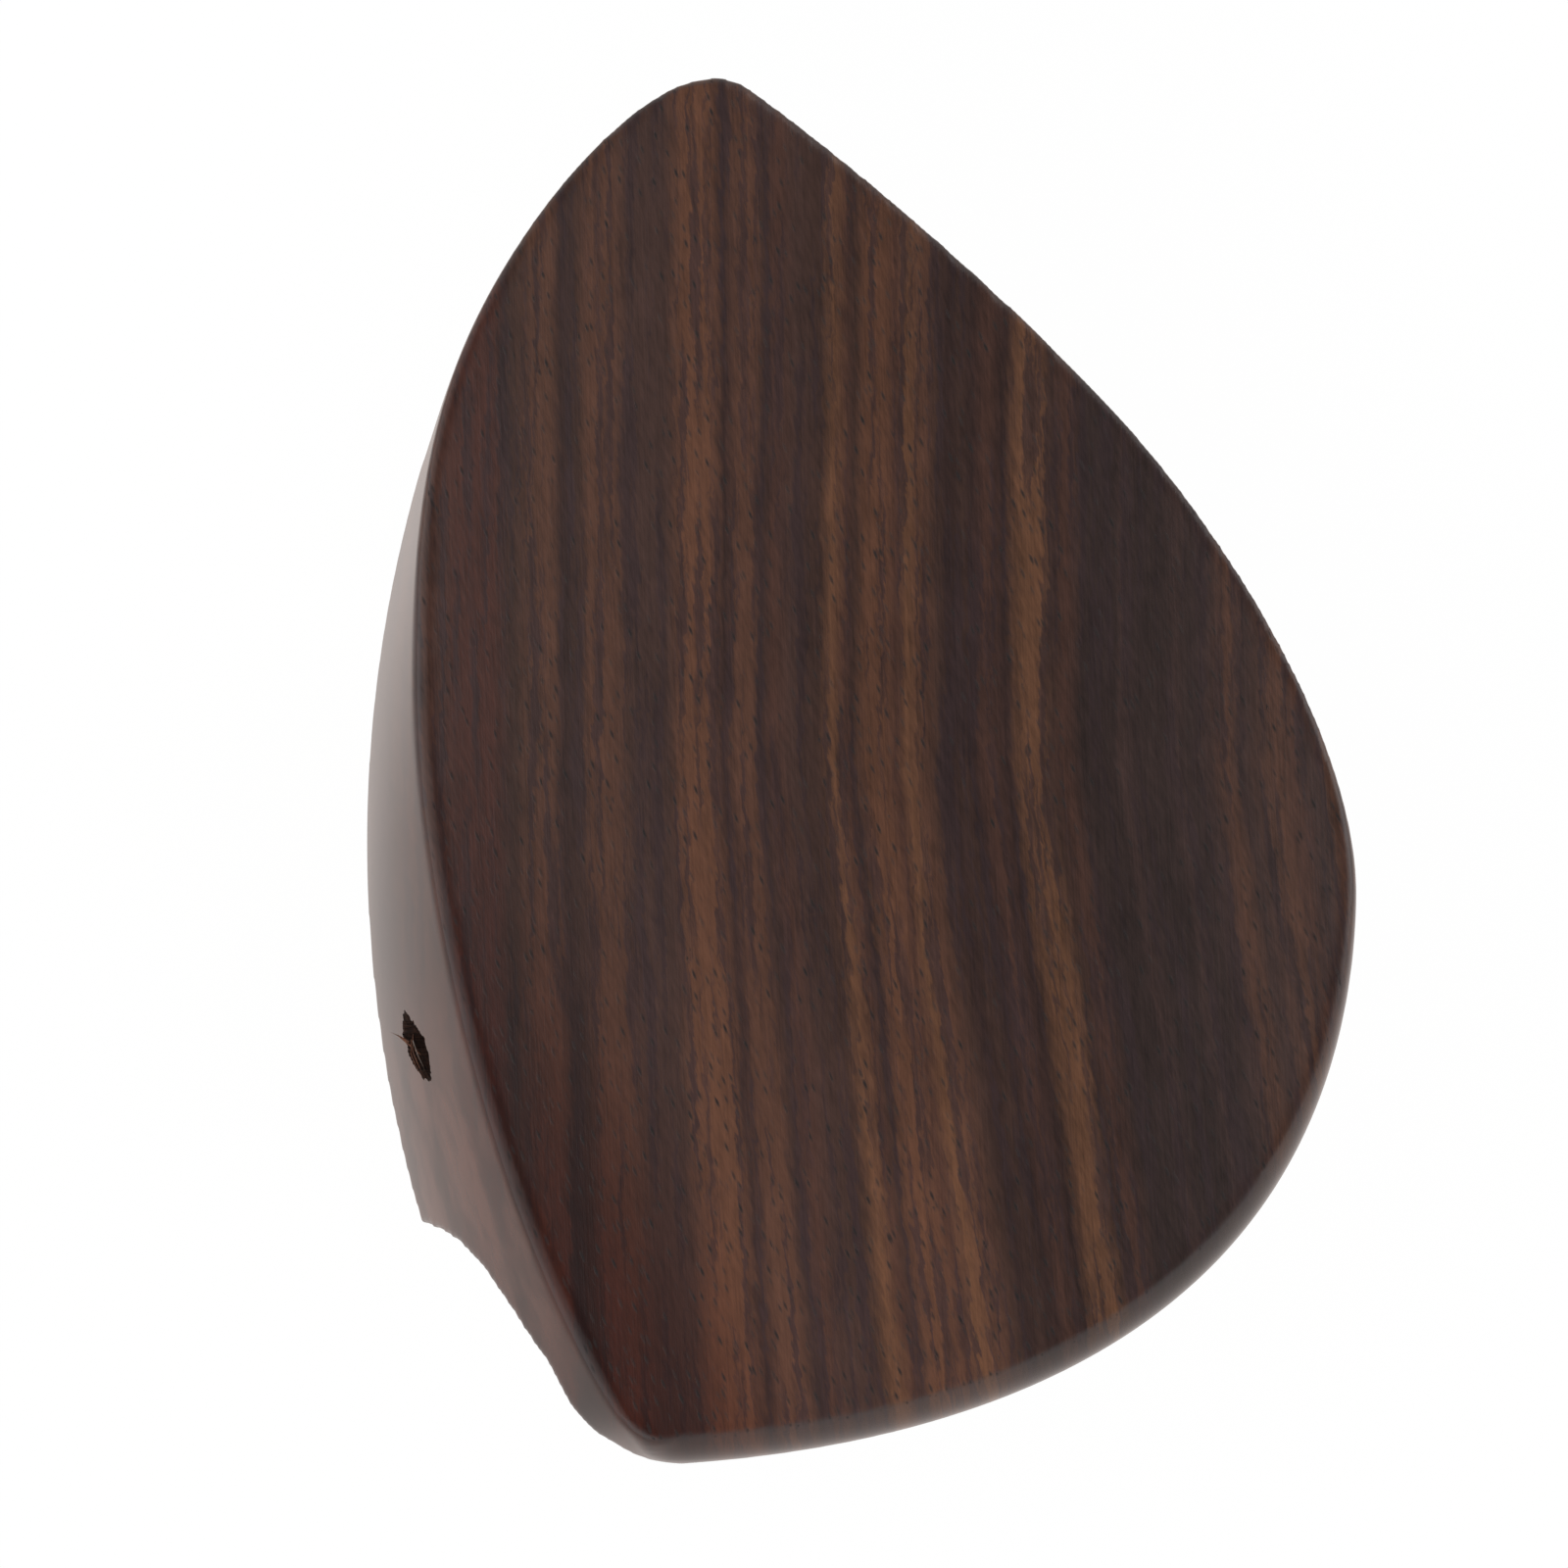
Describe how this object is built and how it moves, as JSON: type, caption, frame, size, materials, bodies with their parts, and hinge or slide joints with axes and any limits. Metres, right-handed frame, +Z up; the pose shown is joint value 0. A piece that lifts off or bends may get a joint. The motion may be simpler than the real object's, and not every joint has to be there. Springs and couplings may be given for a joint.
{
  "type": "violin chinrest",
  "caption": "Side-mounted violin chinrest: dished teardrop rosewood plate carved with its foot, cork pads and a two-barrel screw clamp under the foot",
  "frame": {"origin": "middle of the foot cork's lower face, where the chinrest stands on the violin's top edge", "axes": "+X runs inboard over the violin's belly, +Y along the edge towards the plate's pointed tip, +Z up from the violin's top"},
  "size_m": [0.0794, 0.1108, 0.0704],
  "materials": {
    "rosewood": "satin oiled dark rosewood with fine pores",
    "cork": "pressed cork sheet, matt",
    "nickel_plate": "bright nickel plate",
    "screw_steel": "zinc-bright turned steel"
  },
  "bodies": {
    "chinrest": {"plate_and_foot": "rosewood", "foot_cork": "cork", "upper_bracket": "nickel_plate", "bracket_screw_corner": "screw_steel", "bracket_screw_tip": "screw_steel", "upper_leg_corner": "nickel_plate", "upper_leg_tip": "nickel_plate"},
    "barrel_corner": {"barrel_corner": "nickel_plate"},
    "barrel_tip": {"barrel_tip": "nickel_plate"},
    "jaw": {"lower_bracket": "nickel_plate", "jaw_cork": "cork", "lower_leg_corner": "nickel_plate", "lower_leg_tip": "nickel_plate"}
  },
  "joints": [
    {"name": "barrel_corner_turn", "type": "hinge", "parent": "chinrest", "child": "barrel_corner", "pos_m": [-0.00899, -0.017, -0.019], "axis": [0, 0, 1], "range_deg": [-1543, 1543]},
    {"name": "barrel_tip_turn", "type": "hinge", "parent": "chinrest", "child": "barrel_tip", "pos_m": [-0.00899, 0.017, -0.019], "axis": [0, 0, 1], "range_deg": [-1543, 1543]},
    {"name": "jaw_slide", "type": "slide", "parent": "chinrest", "child": "jaw", "axis": [0, 0, 1], "range_m": [-0.006, 0.006]}
  ],
  "couplings": [
    {"joint": "barrel_corner_turn", "follows": "jaw_slide", "rad_per_m": 4488},
    {"joint": "barrel_tip_turn", "follows": "jaw_slide", "rad_per_m": 4488}
  ]
}
